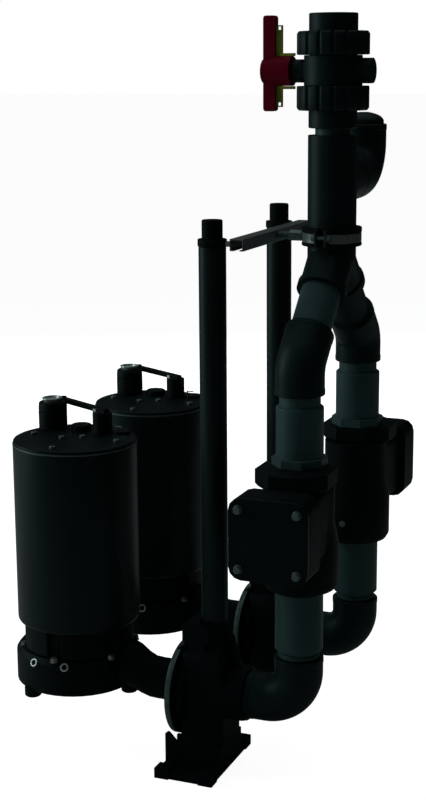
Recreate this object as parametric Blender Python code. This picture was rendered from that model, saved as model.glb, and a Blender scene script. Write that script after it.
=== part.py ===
"""Duplex sewage pump station: two submersible pumps on guide rails, each with a duck foot,
a check valve and a riser, joined by a Y fitting under a common ball valve.

Units are metres, +Z is up. The origin lies on the underside of the front duck foot, on the
axis of the front guide rail. X runs from the rail to the riser, Y from the front to the rear.
"""
import math

import bmesh
import bpy
from mathutils import Matrix, Vector

# Layout of the two pump trains
TRAIN_Y = {"front": 0.0, "rear": 0.300}
OUTWARD = {"front": -1.0, "rear": 1.0}
MIDDLE_Y = 0.150
PUMP_X = -0.2453
RISER_X = 0.1428
GAP = 0.0003

# Pipework for a 63 mm plastic pipe
SOCKET_R = 0.0385
ELBOW_R = 0.0392
LEG_R = 0.0364
LEG_COLLAR_R = 0.0396
LEG_COLLAR_LENGTH = 0.012
PIPE_R = 0.0315
OUTLET_Z = 0.130
ELBOW_BEND = 0.052
ELBOW_TOP_Z = 0.207
ADAPTER_R = 0.0379
ADAPTER_NECK_R = 0.0315
UPPER_ADAPTER_R = 0.0369
KNEE_Z = 0.6740
KNEE_BEND = 0.041
KNEE_BOTTOM_Z = 0.629
BEND_SOCKET_END = 0.0630
LEG_SOCKET_START = 0.1385
Y_TOP_Z = 0.868
TEE_TOP_Z = 1.013
BRANCH_Z = 0.943
BRANCH_LENGTH = 0.073
FLUSH_R = 0.0387
FLUSH_OFFSET = 0.1645
FLUSH_BEND = 0.053
FLUSH_TOP_Z = 1.0245
PLUG_R = 0.0337

# Guide rails, their strut and the pipe clamp
RAIL_R = 0.0213
RAIL_WALL = 0.0026
RAIL_BOTTOM_Z = 0.250
RAIL_TOP_Z = 0.850
RAIL_COLLAR_R = 0.0226
RAIL_COLLAR_TOP_Z = 0.8614
RAIL_PLUG_R = 0.0162
RAIL_PLUG_TOP_Z = 0.8905
STRUT_X = (0.0315, 0.054)
STRUT_Z = (0.8445, 0.863)
STRUT_Y = (-0.008, 0.310)
STRUT_WALL = 0.002
STRUT_SLOT = 0.009
STRUT_AXIS_Z = 0.8545
STRUT_PIN_R = 0.0045
ROD_R = 0.0065
ROD_NUT_R = 0.0085
ROD_NUT_LENGTH = 0.022
CLAMP_Z = (0.841, 0.8705)
CLAMP_R = 0.0475
CLAMP_EAR_R = 0.062
CLAMP_EAR_OFFSET = 0.006
CLAMP_EAR_THICKNESS = 0.004

# Ball valve
VALVE_AXIS_Z = 1.111
VALVE_NIPPLE_R = 0.0274
VALVE_END_Z = (1.0238, 1.0885)
VALVE_END_R = 0.0379
VALVE_NUT_R = 0.0565
VALVE_NUT_LOW_Z = (1.051, 1.0885)
VALVE_NUT_HIGH_Z = (1.135, 1.171)
NUT_CHAMFER = (0.0022, 0.0040)
VALVE_BODY_R = 0.0454
VALVE_TOP_Z = 1.198
VALVE_SOCKET_DEPTH = 0.038
STEM_R = 0.0180
STEM_REACH = 0.062
REAR_BOSS_R = 0.0195
REAR_BOSS_REACH = 0.0645
HUB_R = 0.023
HUB_X = (-0.101, -0.066)
MEDALLION_R = 0.019
MEDALLION_X = -0.1145
HANDLE_X = (-0.1130, -0.0930)
HANDLE_WIDTH = 0.015
HANDLE_Z = (1.049, 1.196)
INSERT_X = (-0.0926, -0.083)
INSERT_Z = (1.0556, 1.181)
INSERT_ARM_X = -0.063
INSERT_THICKNESS = 0.006

# Check valve, centred on the riser
VALVE_BLOCK_HALF = 0.0625
VALVE_BLOCK_Z = (0.3718, 0.499)
COVER_FACE = 0.145
COVER_THICKNESS = 0.012
BLOCK_BACK = 0.085
VALVE_MIDDLE_HALF = 0.051
VALVE_MIDDLE_Z = (0.380, 0.489)
VALVE_HUB_R = 0.0592
VALVE_HUB_SHIFT = 0.007
VALVE_WAIST_R = 0.0525
VALVE_BOTTOM_Z = 0.317
SHOULDER_Z = (0.493, 0.519)
SHOULDER_FLATS = 0.117
SHOULDER_SHIFT = 0.017
OCTAGON_FLATS = 0.0808
OCTAGON_TOP_Z = 0.533
UPPER_ADAPTER_TOP_Z = 0.612
CHECK_NECK_R = 0.0319

# Duck foot
BASE_X = (-0.072, 0.0277)
BASE_HALF_Y = 0.0876
BASE_PLATE = 0.012
BASE_PAD = 0.017
BASE_PAD_SIZE = 0.024
PEDESTAL_X = (-0.051, 0.0275)
PEDESTAL_HALF_Y = 0.043
HORN_THICKNESS = 0.007
HORN_OUTLINE = ((-0.045, 0.008), (-0.045, 0.059), (-0.051, 0.059), (-0.051, 0.044), (-0.0655, 0.0590),
                (-0.0690, 0.0600), (-0.0718, 0.0575), (-0.0718, 0.008))
FOOT_FACE_X = -0.0470
FOOT_COLUMN = ((FOOT_FACE_X + 0.001, 0.0272, 0.0428, 0.040), (FOOT_FACE_X + 0.001, 0.0272, 0.0428, 0.180),
               (FOOT_FACE_X + 0.003, 0.0276, 0.037, 0.197), (-0.024, 0.020, 0.020, 0.217))
FOOT_FACE_R = 0.060
OUTLET_R = 0.045
OUTLET_X = 0.0603
BOSS_R = 0.0225
SEAT_Z = 0.2187
SEAT_X = (-0.035, -0.004)
SEAT_HALF_Y = 0.034

# Pump
SHELL_R = 0.1012
SHELL_Z = (0.222, 0.5208)
COVER_BEAD_Z = 0.5243
COVER_DISC_R = 0.1000
COVER_TOP_Z = 0.5282
BRACKET_R = 0.0917
BRACKET_RECESS_R = 0.084
BRACKET_Z = (0.179, 0.222)
BOLT_COUNT = 6
BOLT_FIRST_ANGLE = -90.0
RECESS_HALF_ANGLE = 7.0
VOLUTE_R = 0.1015
VOLUTE_CENTRE = (-0.008, 0.006)
VOLUTE_Z = (0.1138, 0.168)
SUCTION_R = 0.030
SUCTION_DEPTH = 0.028
PUMP_FOOT_ANGLES = (-122.0, -2.0, 118.0)
PUMP_FOOT_RADIUS = 0.092
PUMP_FOOT_SIZE = 0.0138
PUMP_FOOT_Z = 0.104
NECK_R = 0.034
NECK_Z = 0.134
NECK_RINGS = ((0.030, 0.142, 0.0325), (0.0925, 0.142, 0.0325), (0.0928, 0.1535, 0.0385),
              (0.1053, 0.1500, 0.0375), (0.1203, 0.1410, 0.0355), (0.1353, 0.1350, 0.0342),
              (0.1503, NECK_Z, NECK_R))
CLAW_DISC_X = (-0.0574, -0.0480)
CLAW_DISC_R = 0.077
CLAW_DISC_Z = 0.1285
FORK_TOP_Z = 0.246
FORK_HALF_Y = 0.037
FORK_INNER_R = 0.0255
FORK_X = (-0.042, 0.006)
WEB_HALF_Y = 0.028

# Fittings on the pump cover, from the pump's axis
GLAND_AT = (-0.066, 0.050)
GLAND_R = 0.0237
GLAND_TOP_Z = 0.574
GLAND_CAP_R = 0.0125
GLAND_CAP_TOP_Z = 0.581
POST_AT = (0.0292, 0.044)
POST_R = 0.0162
POST_TOP_Z = 0.564
HANDLE_EYE_AT = (-0.062, 0.081)
HANDLE_EYE_R = 0.006
HANDLE_BAR_WIDTH = 0.012
HANDLE_BAR_HEIGHT = 0.007
HANDLE_BAR_TOP_Z = 0.5745
COVER_BOSSES = ((-0.015, 0.054, 0.017, 0.010), (0.0560, 0.0615, 0.0150, 0.008))

# Colour, roughness and metallic value of each material
FINISHES = {
    "coated_steel": ((0.045, 0.055, 0.060), 0.45, 0.3),
    "cast_iron": ((0.030, 0.036, 0.042), 0.55, 0.2),
    "cover_iron": ((0.035, 0.045, 0.060), 0.50, 0.2),
    "grey_plastic": ((0.060, 0.072, 0.078), 0.40, 0.0),
    "light_plastic": ((0.120, 0.140, 0.145), 0.38, 0.0),
    "rail_steel": ((0.070, 0.085, 0.090), 0.35, 0.8),
    "zinc_steel": ((0.250, 0.260, 0.270), 0.35, 0.9),
    "rubber": ((0.012, 0.013, 0.014), 0.80, 0.0),
    "red_plastic": ((0.200, 0.012, 0.030), 0.40, 0.0),
    "yellow_plastic": ((0.330, 0.310, 0.060), 0.45, 0.0),
}

ROUND = 32
SMALL_ROUND = 20
ALONG_X = Matrix.Rotation(math.radians(90.0), 4, "Y")


def clear_scene():
    for old in list(bpy.data.objects):
        bpy.data.objects.remove(old, do_unlink=True)


def make_material(name, finish):
    colour, roughness, metallic = FINISHES[finish]
    material = bpy.data.materials.new(name)
    material.use_nodes = True
    shader = material.node_tree.nodes["Principled BSDF"]
    shader.inputs["Base Color"].default_value = (*colour, 1.0)
    shader.inputs["Roughness"].default_value = roughness
    shader.inputs["Metallic"].default_value = metallic
    return material


def make_empty(name, location):
    empty = bpy.data.objects.new(name, None)
    empty.location = location
    bpy.context.collection.objects.link(empty)
    return empty


def add_object(name, shape, location, parent=None):
    """Turn a bmesh, drawn about its own origin, into a smooth-shaded object at a world place."""
    bmesh.ops.recalc_face_normals(shape, faces=shape.faces)
    mesh = bpy.data.meshes.new(name)
    shape.to_mesh(mesh)
    shape.free()
    mesh.shade_smooth()
    mesh.set_sharp_from_angle(angle=math.radians(35.0))
    piece = bpy.data.objects.new(name, mesh)
    bpy.context.collection.objects.link(piece)
    piece.location = Vector(location)
    if parent is not None:
        piece.parent = parent
        piece.location = Vector(location) - parent.location
    return piece


def add_part(name, finish, shape, location, parent=None):
    piece = add_object(name, shape, location, parent)
    piece.data.materials.append(make_material(name, finish))
    return piece


def combine(piece, shape, operation="UNION"):
    """Join a bmesh, drawn about the same origin as the piece, to it or cut it away."""
    tool = add_object(f"{piece.name}_{operation.lower()}_{len(piece.modifiers)}", shape,
                      piece.location if piece.parent is None else piece.location + piece.parent.location)
    tool.hide_render = True
    tool.display_type = "WIRE"
    modifier = piece.modifiers.new(tool.name, "BOOLEAN")
    modifier.operation = operation
    modifier.solver = "EXACT"
    modifier.object = tool


def circle(radius, count=ROUND, centre=(0.0, 0.0)):
    step = 2.0 * math.pi / count
    return [(centre[0] + radius * math.cos(step * (i + 0.5)),
             centre[1] + radius * math.sin(step * (i + 0.5))) for i in range(count)]


def rounded_rectangle(x_range, y_range, radius, corner_steps=3):
    """Outline with four rounded corners, anticlockwise from the +X +Y corner."""
    points = []
    corners = ((x_range[1] - radius, y_range[1] - radius, 0.0),
               (x_range[0] + radius, y_range[1] - radius, 90.0),
               (x_range[0] + radius, y_range[0] + radius, 180.0),
               (x_range[1] - radius, y_range[0] + radius, 270.0))
    for x, y, start in corners:
        for step in range(corner_steps + 1):
            angle = math.radians(start + 90.0 * step / corner_steps)
            points.append((x + radius * math.cos(angle), y + radius * math.sin(angle)))
    return points


def regular_polygon(across_flats, sides, centre_y=0.0):
    radius = across_flats / 2.0 / math.cos(math.pi / sides)
    return circle(radius, sides, (0.0, centre_y))


def skin(rings, closed=False):
    """Closed body through rings of points; the ends are capped unless the rings close on themselves."""
    shape = bmesh.new()
    rows = [[shape.verts.new(point) for point in ring] for ring in rings]
    count = len(rows[0])
    pairs = list(zip(rows, rows[1:]))
    if closed:
        pairs.append((rows[-1], rows[0]))
    for lower, upper in pairs:
        for i in range(count):
            j = (i + 1) % count
            shape.faces.new((lower[i], lower[j], upper[j], upper[i]))
    if not closed:
        shape.faces.new(list(reversed(rows[0])))
        shape.faces.new(rows[-1])
    return shape


def turned(profile, count=ROUND, closed=False):
    """Body turned about Z; the profile lists (radius, height) up its outer side."""
    return skin([[(x, y, z) for x, y in circle(radius, count)] for radius, z in profile], closed)


def turned_along_x(profile, count=ROUND, closed=False):
    """Body turned about X; the profile lists (radius, x)."""
    shape = turned(profile, count, closed)
    shape.transform(ALONG_X)
    return shape


def prism(outline, z_range):
    return skin([[(x, y, z) for x, y in outline] for z in z_range])


def prism_along_y(outline, y_range):
    """Body with an (x, z) outline, extruded along Y."""
    return skin([[(x, y, z) for x, z in outline] for y in y_range])


def box(x_range, y_range, z_range):
    outline = [(x_range[1], y_range[1]), (x_range[0], y_range[1]),
               (x_range[0], y_range[0]), (x_range[1], y_range[0])]
    return prism(outline, z_range)


def arc(centre, start, turn_to, angle, steps):
    """Points from a start point around a centre, turning towards a direction."""
    centre = Vector(centre)
    first = Vector(start) - centre
    second = Vector(turn_to).normalized() * first.length
    points = []
    for step in range(steps + 1):
        turn = math.radians(angle) * step / steps
        points.append(centre + first * math.cos(turn) + second * math.sin(turn))
    return points


def swept(path, radius, side, count=ROUND):
    """Round bar along a path that lies in the plane square to the side direction."""
    path = [Vector(point) for point in path]
    side = Vector(side).normalized()
    rings = []
    for i, point in enumerate(path):
        before = path[max(i - 1, 0)]
        after = path[min(i + 1, len(path) - 1)]
        direction = (after - before).normalized()
        across = side.cross(direction).normalized()
        rings.append([point + side * x + across * y for x, y in circle(radius, count)])
    return skin(rings)


def make_foot(train):
    """Duck foot: base plate, pedestal, inlet face, outlet, seat for the claw, and rail spigot."""
    foot = add_part(f"{train}_foot", "cast_iron",
                    box((BASE_X[0] + 0.002, BASE_X[1] - 0.002), (-BASE_HALF_Y + 0.003, BASE_HALF_Y - 0.003),
                        (0.0, BASE_PLATE)), (0.0, TRAIN_Y[train], 0.0))
    for x in (BASE_X[0], BASE_X[1] - BASE_PAD_SIZE):
        for y in (-BASE_HALF_Y, BASE_HALF_Y - BASE_PAD_SIZE):
            combine(foot, box((x, x + BASE_PAD_SIZE), (y, y + BASE_PAD_SIZE), (0.0, BASE_PAD)))
    combine(foot, box(PEDESTAL_X, (-PEDESTAL_HALF_Y, PEDESTAL_HALF_Y), (0.006, 0.050)))
    column = []
    for x_low, x_high, half_y, z in FOOT_COLUMN:
        outline = rounded_rectangle((x_low, x_high), (-half_y, half_y), 0.008)
        column.append([(x, y, z) for x, y in outline])
    combine(foot, skin(column))
    for y in (-PEDESTAL_HALF_Y, PEDESTAL_HALF_Y - HORN_THICKNESS):
        combine(foot, prism_along_y(HORN_OUTLINE, (y + 0.0002, y + HORN_THICKNESS)))
    face = turned_along_x([(FOOT_FACE_R, FOOT_FACE_X), (FOOT_FACE_R, FOOT_FACE_X + 0.011)])
    face.transform(Matrix.Translation((0.0, 0.0, CLAW_DISC_Z)))
    combine(foot, face)
    outlet = turned_along_x([(OUTLET_R, -0.020), (OUTLET_R, OUTLET_X - 0.008), (OUTLET_R - 0.002, OUTLET_X)])
    outlet.transform(Matrix.Translation((0.0, 0.0, OUTLET_Z)))
    combine(foot, outlet)
    combine(foot, box(SEAT_X, (-SEAT_HALF_Y, SEAT_HALF_Y), (0.160, SEAT_Z)))
    spigot_r = RAIL_R - RAIL_WALL - GAP
    combine(foot, turned([(0.030, 0.200), (BOSS_R, 0.218), (BOSS_R, RAIL_BOTTOM_Z - GAP),
                          (spigot_r, RAIL_BOTTOM_Z - GAP), (spigot_r, RAIL_BOTTOM_Z + 0.020),
                          (spigot_r - 0.004, RAIL_BOTTOM_Z + 0.032)]))


def make_rail(train):
    """Guide rail tube with its collared plug."""
    y = TRAIN_Y[train]
    inner = RAIL_R - RAIL_WALL
    add_part(f"{train}_guide_rail", "rail_steel",
             turned([(RAIL_R, RAIL_BOTTOM_Z), (RAIL_R, RAIL_TOP_Z), (inner, RAIL_TOP_Z),
                     (inner, RAIL_BOTTOM_Z)], closed=True), (0.0, y, 0.0))
    add_part(f"{train}_rail_plug", "rubber",
             turned([(inner - GAP, RAIL_TOP_Z - 0.025), (inner - GAP, RAIL_TOP_Z + GAP),
                     (RAIL_COLLAR_R, RAIL_TOP_Z + GAP), (RAIL_COLLAR_R, RAIL_COLLAR_TOP_Z),
                     (RAIL_PLUG_R, RAIL_COLLAR_TOP_Z), (RAIL_PLUG_R, RAIL_PLUG_TOP_Z)]), (0.0, y, 0.0))


def make_riser(train):
    """Bottom elbow, adapters, 45 degree bend and inclined pipe of one train."""
    y = TRAIN_Y[train]
    inward = -OUTWARD[train]
    corner_x = RISER_X - ELBOW_BEND
    corner_z = OUTLET_Z + ELBOW_BEND
    path = [(OUTLET_X + GAP, 0.0, OUTLET_Z)]
    path += arc((corner_x, 0.0, corner_z), (corner_x, 0.0, OUTLET_Z), (1.0, 0.0, 0.0), 90.0, 9)
    path += [(RISER_X, 0.0, ELBOW_TOP_Z)]
    add_part(f"{train}_bottom_elbow", "grey_plastic", swept(path, ELBOW_R, (0.0, 1.0, 0.0)),
             (0.0, y, 0.0))
    add_part(f"{train}_lower_adapter", "light_plastic",
             turned([(ADAPTER_NECK_R, ELBOW_TOP_Z + GAP), (ADAPTER_NECK_R, ELBOW_TOP_Z + 0.007),
                     (ADAPTER_R, ELBOW_TOP_Z + 0.013), (ADAPTER_R, VALVE_BOTTOM_Z - GAP)]), (RISER_X, y, 0.0))
    adapter = add_part(f"{train}_upper_adapter", "light_plastic",
                       turned([(UPPER_ADAPTER_R, SHOULDER_Z[1] + 0.008),
                               (UPPER_ADAPTER_R, UPPER_ADAPTER_TOP_Z - 0.002),
                               (UPPER_ADAPTER_R - 0.002, UPPER_ADAPTER_TOP_Z),
                               (CHECK_NECK_R, UPPER_ADAPTER_TOP_Z),
                               (CHECK_NECK_R, KNEE_BOTTOM_Z)]), (RISER_X, y, 0.0))
    combine(adapter, prism(regular_polygon(OCTAGON_FLATS, 8), (SHOULDER_Z[1] + GAP, OCTAGON_TOP_Z)))
    slope = Vector((0.0, inward, 1.0)).normalized()
    knee = Vector((0.0, 0.0, KNEE_Z))
    tangent = KNEE_BEND * math.tan(math.radians(22.5))
    lower = knee - Vector((0.0, 0.0, tangent))
    centre = lower + Vector((0.0, inward * KNEE_BEND, 0.0))
    path = [(0.0, 0.0, KNEE_BOTTOM_Z + GAP)]
    path += arc(centre, lower, (0.0, 0.0, 1.0), 45.0, 5)
    path += [knee + slope * BEND_SOCKET_END]
    add_part(f"{train}_upper_bend", "grey_plastic", swept(path, SOCKET_R, (1.0, 0.0, 0.0)),
             (RISER_X, y, 0.0))
    path = [knee + slope * (BEND_SOCKET_END + GAP), knee + slope * LEG_SOCKET_START]
    add_part(f"{train}_inclined_pipe", "light_plastic", swept(path, PIPE_R, (1.0, 0.0, 0.0)),
             (RISER_X, y, 0.0))


def make_check_valve(train):
    """Check valve whose bolted cover faces away from the other train."""
    y = TRAIN_Y[train]
    out = OUTWARD[train]
    block = rounded_rectangle((-VALVE_BLOCK_HALF, VALVE_BLOCK_HALF), VALVE_BLOCK_Z, 0.020)
    cover_back = COVER_FACE - COVER_THICKNESS
    body = add_part(f"{train}_check_valve", "cast_iron",
                    prism_along_y(block, sorted((out * (cover_back - GAP), out * BLOCK_BACK))),
                    (RISER_X, y, 0.0))
    middle = rounded_rectangle((-VALVE_MIDDLE_HALF, VALVE_MIDDLE_HALF), VALVE_MIDDLE_Z, 0.014)
    combine(body, prism_along_y(middle, sorted((out * (BLOCK_BACK + 0.004), out * -0.010))))
    hub = turned([(VALVE_HUB_R - 0.018, VALVE_BOTTOM_Z), (VALVE_HUB_R - 0.005, VALVE_BOTTOM_Z + 0.004),
                  (VALVE_HUB_R, VALVE_BOTTOM_Z + 0.013), (VALVE_HUB_R, 0.395), (VALVE_WAIST_R, 0.430),
                  (VALVE_WAIST_R, 0.492)])
    hub.transform(Matrix.Translation((0.0, -out * VALVE_HUB_SHIFT, 0.0)))
    combine(body, hub)
    wide = regular_polygon(SHOULDER_FLATS, 8, out * SHOULDER_SHIFT)
    narrow = regular_polygon(SHOULDER_FLATS - 0.010, 8, out * SHOULDER_SHIFT)
    rings = [[(px, py, z) for px, py in outline] for outline, z in
             ((narrow, SHOULDER_Z[0] - 0.004), (wide, SHOULDER_Z[0] + 0.002), (wide, SHOULDER_Z[1] - 0.002),
              (narrow, SHOULDER_Z[1]))]
    combine(body, skin(rings))
    add_part(f"{train}_check_valve_cover", "cover_iron",
             prism_along_y(block, sorted((out * COVER_FACE, out * cover_back))), (RISER_X, y, 0.0))


def make_pump(train):
    """Submersible pump with its coupling claw, which slides up the guide rail."""
    y = TRAIN_Y[train]
    slide = make_empty(f"{train}_pump_slide", (0.0, y, RAIL_BOTTOM_Z))
    at_pump = (PUMP_X, y, 0.0)
    add_part(f"{train}_motor_shell", "coated_steel",
             turned([(SHELL_R - 0.0067, SHELL_Z[0] + GAP), (SHELL_R - 0.0017, SHELL_Z[0] + 0.0035),
                     (SHELL_R, SHELL_Z[0] + 0.009), (SHELL_R, SHELL_Z[1])], 48), at_pump, slide)
    cover = add_part(f"{train}_motor_cover", "cover_iron",
                     turned([(SHELL_R, SHELL_Z[1] + GAP), (SHELL_R, COVER_BEAD_Z),
                             (COVER_DISC_R, COVER_BEAD_Z), (COVER_DISC_R, COVER_TOP_Z - 0.001),
                             (COVER_DISC_R - 0.001, COVER_TOP_Z)], 48),
                     at_pump, slide)
    for boss_x, boss_y, radius, height in COVER_BOSSES:
        boss = turned([(radius, COVER_TOP_Z - 0.002), (radius, COVER_TOP_Z + height - 0.002),
                       (radius - 0.002, COVER_TOP_Z + height)], SMALL_ROUND)
        boss.transform(Matrix.Translation((boss_x, boss_y, 0.0)))
        combine(cover, boss)
    make_bracket(train, slide)
    make_volute(train, slide)
    make_cover_fittings(train, slide)
    make_claw(train, slide)


def make_bracket(train, slide):
    """Ring between motor and volute, recessed above each flange bolt."""
    outline = []
    for i in range(BOLT_COUNT):
        middle = BOLT_FIRST_ANGLE + 360.0 * i / BOLT_COUNT
        for offset in (-RECESS_HALF_ANGLE, 0.0, RECESS_HALF_ANGLE):
            angle = math.radians(middle + offset)
            outline.append((BRACKET_RECESS_R * math.cos(angle), BRACKET_RECESS_R * math.sin(angle)))
        for offset in (8.0, 19.0, 30.0, 41.0, 52.0):
            angle = math.radians(middle + offset)
            outline.append((BRACKET_R * math.cos(angle), BRACKET_R * math.sin(angle)))
    add_part(f"{train}_pump_bracket", "cast_iron", prism(outline, (BRACKET_Z[0] + GAP, BRACKET_Z[1])),
             (PUMP_X, TRAIN_Y[train], 0.0), slide)


def make_volute(train, slide):
    """Volute casing with three stub feet, a suction opening below and the discharge neck."""
    centred = [(VOLUTE_R - 0.012, VOLUTE_Z[0]), (VOLUTE_R - 0.003, VOLUTE_Z[0] + 0.0015),
               (VOLUTE_R, VOLUTE_Z[0] + 0.0045), (VOLUTE_R, VOLUTE_Z[1]),
               (VOLUTE_R - 0.006, VOLUTE_Z[1] + 0.008), (VOLUTE_R - 0.014, BRACKET_Z[0])]
    casing = skin([[(x, y, z) for x, y in circle(radius, 40, VOLUTE_CENTRE)] for radius, z in centred])
    volute = add_part(f"{train}_volute", "cast_iron", casing, (PUMP_X, TRAIN_Y[train], 0.0), slide)
    for angle in PUMP_FOOT_ANGLES:
        foot_x = PUMP_FOOT_RADIUS * math.cos(math.radians(angle))
        foot_y = PUMP_FOOT_RADIUS * math.sin(math.radians(angle))
        stub = turned([(PUMP_FOOT_SIZE - 0.002, PUMP_FOOT_Z), (PUMP_FOOT_SIZE, PUMP_FOOT_Z + 0.002),
                       (PUMP_FOOT_SIZE, VOLUTE_Z[0] + 0.006)], SMALL_ROUND)
        stub.transform(Matrix.Translation((foot_x, foot_y, 0.0)))
        combine(volute, stub)
    flange_x = CLAW_DISC_X[0] - GAP - PUMP_X
    neck = []
    for x, z, radius in NECK_RINGS + ((flange_x, NECK_Z, NECK_R),):
        neck.append([(x, across, z + up) for across, up in circle(radius)])
    combine(volute, skin(neck))
    suction = turned([(SUCTION_R, VOLUTE_Z[0] - 0.020), (SUCTION_R, VOLUTE_Z[0] + SUCTION_DEPTH)])
    combine(volute, suction, "DIFFERENCE")


def make_cover_fittings(train, slide):
    """Cable gland and the lifting handle on the motor cover."""
    y = TRAIN_Y[train]
    add_part(f"{train}_cable_gland", "cast_iron",
             turned([(GLAND_R, COVER_TOP_Z + GAP), (GLAND_R, COVER_TOP_Z + 0.006),
                     (GLAND_R - 0.001, GLAND_TOP_Z - 0.002), (GLAND_R - 0.003, GLAND_TOP_Z),
                     (GLAND_CAP_R, GLAND_TOP_Z), (GLAND_CAP_R, GLAND_CAP_TOP_Z)], 24),
             (PUMP_X + GLAND_AT[0], y + GLAND_AT[1], 0.0), slide)
    handle = add_part(f"{train}_lifting_handle", "cast_iron",
                      turned([(POST_R, COVER_TOP_Z + GAP), (POST_R, POST_TOP_Z)], SMALL_ROUND),
                      (PUMP_X + POST_AT[0], y + POST_AT[1], 0.0), slide)
    eye_x = HANDLE_EYE_AT[0] - POST_AT[0]
    eye_y = HANDLE_EYE_AT[1] - POST_AT[1]
    length = math.hypot(eye_x, eye_y)
    across = Vector((-eye_y, eye_x, 0.0)).normalized() * HANDLE_BAR_WIDTH / 2.0
    start = Vector((eye_x, eye_y, HANDLE_BAR_TOP_Z))
    end = Vector((-eye_x / length * 0.010, -eye_y / length * 0.010, POST_TOP_Z + 0.006))
    drop = Vector((0.0, 0.0, HANDLE_BAR_HEIGHT))
    rings = [[point + across, point - across, point - across - drop, point + across - drop]
             for point in (start, end)]
    combine(handle, skin(rings))
    leg = turned([(HANDLE_EYE_R, COVER_TOP_Z + GAP), (HANDLE_EYE_R, HANDLE_BAR_TOP_Z + 0.002)], 12)
    leg.transform(Matrix.Translation((eye_x, eye_y, 0.0)))
    combine(handle, leg)


def make_claw(train, slide):
    """Coupling flange with a fork that rides on the guide rail and sits on the foot's seat."""
    outline = []
    for step in range(9):
        angle = math.radians(90.0 + 180.0 * step / 8)
        outline.append((FORK_INNER_R * math.cos(angle), FORK_INNER_R * math.sin(angle)))
    back, end = FORK_X
    outline += [(end, -FORK_INNER_R), (end, -FORK_HALF_Y + 0.004), (end - 0.004, -FORK_HALF_Y),
                (back, -FORK_HALF_Y), (back, FORK_HALF_Y), (end - 0.004, FORK_HALF_Y),
                (end, FORK_HALF_Y - 0.004), (end, FORK_INNER_R)]
    outline.reverse()
    claw = add_part(f"{train}_claw", "cast_iron", prism(outline, (SEAT_Z + GAP, FORK_TOP_Z)),
                    (0.0, TRAIN_Y[train], 0.0), slide)
    disc = turned_along_x([(CLAW_DISC_R, CLAW_DISC_X[0]), (CLAW_DISC_R, CLAW_DISC_X[1])], 40)
    disc.transform(Matrix.Translation((0.0, 0.0, CLAW_DISC_Z)))
    combine(claw, disc)
    low_x = CLAW_DISC_X[0] + 0.0002
    high_x = CLAW_DISC_X[1] - 0.0002
    web_back = back - 0.0002
    web_front = SEAT_X[0] - 0.0006
    web = [(low_x, 0.168), (low_x, 0.2000), (web_back, 0.2085), (web_back, SEAT_Z + 0.006),
           (web_front, SEAT_Z + 0.006), (web_front, 0.2085), (web_back - 0.0004, 0.2005), (high_x, 0.1935),
           (high_x, 0.168)]
    combine(claw, prism_along_y(web, (-WEB_HALF_Y, WEB_HALF_Y)))


def make_y_fitting():
    """Two 45 degree legs that meet in the barrel under the tee."""
    rise = MIDDLE_Y
    apex_z = KNEE_Z + rise
    fitting = add_part("y_fitting", "grey_plastic",
                       turned([(SOCKET_R, apex_z - 0.006), (SOCKET_R, Y_TOP_Z - GAP)]),
                       (RISER_X, MIDDLE_Y, 0.0))
    for side in (-1.0, 1.0):
        slope = Vector((0.0, -side, 1.0)).normalized()
        knee = Vector((0.0, side * rise, KNEE_Z))
        path = [knee + slope * (LEG_SOCKET_START + GAP), knee + slope * (rise * math.sqrt(2.0))]
        combine(fitting, swept(path, LEG_R, (1.0, 0.0, 0.0)))
        path[1] = knee + slope * (LEG_SOCKET_START + LEG_COLLAR_LENGTH)
        combine(fitting, swept(path, LEG_COLLAR_R, (1.0, 0.0, 0.0)))


def make_tee_and_flush_port():
    """Tee with its rear branch, the flushing elbow behind it and the elbow's plug."""
    tee = add_part("tee", "grey_plastic", turned([(SOCKET_R, Y_TOP_Z), (SOCKET_R, TEE_TOP_Z)]),
                   (RISER_X, MIDDLE_Y, 0.0))
    branch = swept([(0.0, 0.0, BRANCH_Z), (0.0, BRANCH_LENGTH, BRANCH_Z)], SOCKET_R - 0.0002, (1.0, 0.0, 0.0))
    combine(tee, branch)
    corner_y = FLUSH_OFFSET - FLUSH_BEND
    path = [(0.0, BRANCH_LENGTH + GAP, BRANCH_Z)]
    path += arc((0.0, corner_y, BRANCH_Z + FLUSH_BEND), (0.0, corner_y, BRANCH_Z), (0.0, 1.0, 0.0), 90.0, 9)
    path += [(0.0, FLUSH_OFFSET, FLUSH_TOP_Z)]
    add_part("flush_elbow", "grey_plastic", swept(path, FLUSH_R, (1.0, 0.0, 0.0)), (RISER_X, MIDDLE_Y, 0.0))
    add_part("flush_plug", "grey_plastic",
             turned([(PLUG_R, FLUSH_TOP_Z + GAP), (PLUG_R, FLUSH_TOP_Z + 0.006),
                     (PLUG_R * 0.87, FLUSH_TOP_Z + 0.0125), (PLUG_R * 0.60, FLUSH_TOP_Z + 0.0170),
                     (PLUG_R * 0.25, FLUSH_TOP_Z + 0.0195)]),
             (RISER_X, MIDDLE_Y + FLUSH_OFFSET, 0.0))


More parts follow.
